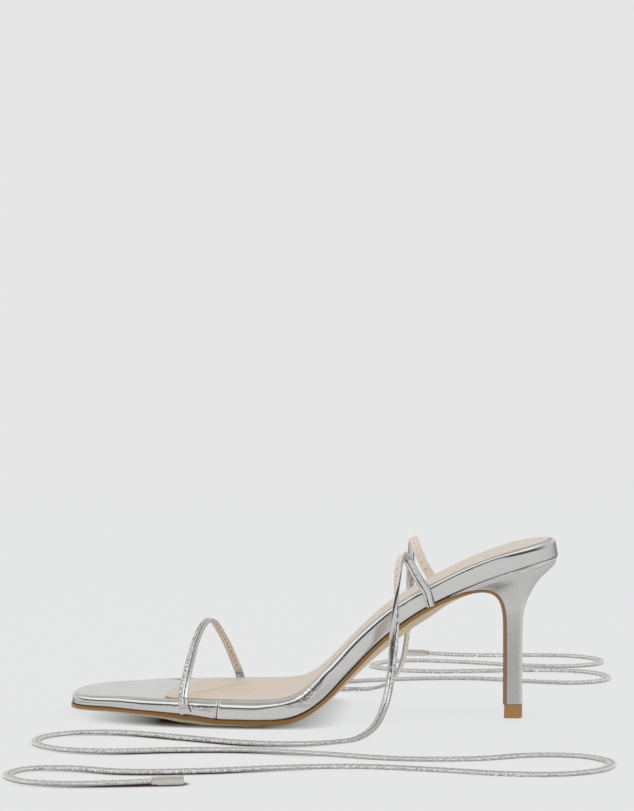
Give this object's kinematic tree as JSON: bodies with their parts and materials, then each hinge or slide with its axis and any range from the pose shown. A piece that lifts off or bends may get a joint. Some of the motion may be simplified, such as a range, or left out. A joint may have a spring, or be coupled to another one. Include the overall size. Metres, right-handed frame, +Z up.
{
  "type": "strappy heeled sandal",
  "caption": "Open high-heeled sandal for the right foot with a slim heel, narrow toe strap over a silver-wrapped footbed and long undone ankle ties with metal ends.",
  "frame": {"origin": "middle of the sandal's length and width at floor level, without its ties", "axes": "+X from toe to heel, +Y from the medial to the lateral side, +Z up"},
  "size_m": [0.2563, 0.376, 0.0835],
  "materials": {
    "tan_sole": "satin, tan edge with a cream underside",
    "silver_wrap": "metallic silver foil leather, soft gloss",
    "beige_lining": "matt smooth",
    "silver_heel_cover": "metallic silver, fine grain",
    "tan_top_piece": "satin",
    "silver_strap": "metallic silver foil leather, crinkled",
    "silver_tie_medial": "metallic silver foil leather, crinkled",
    "silver_tie_lateral": "metallic silver foil leather, crinkled",
    "bright_metal_medial": "polished nickel",
    "bright_metal_lateral": "polished nickel"
  },
  "bodies": {
    "root": {"outsole": "tan_sole", "footbed": "silver_wrap", "sock_liner": "beige_lining", "heel": "silver_heel_cover", "top_piece": "tan_top_piece", "toe_strap": "silver_strap", "tie_medial": "silver_tie_medial", "tie_lateral": "silver_tie_lateral", "tie_end_medial": "bright_metal_medial", "tie_end_lateral": "bright_metal_lateral"}
  },
  "joints": []
}
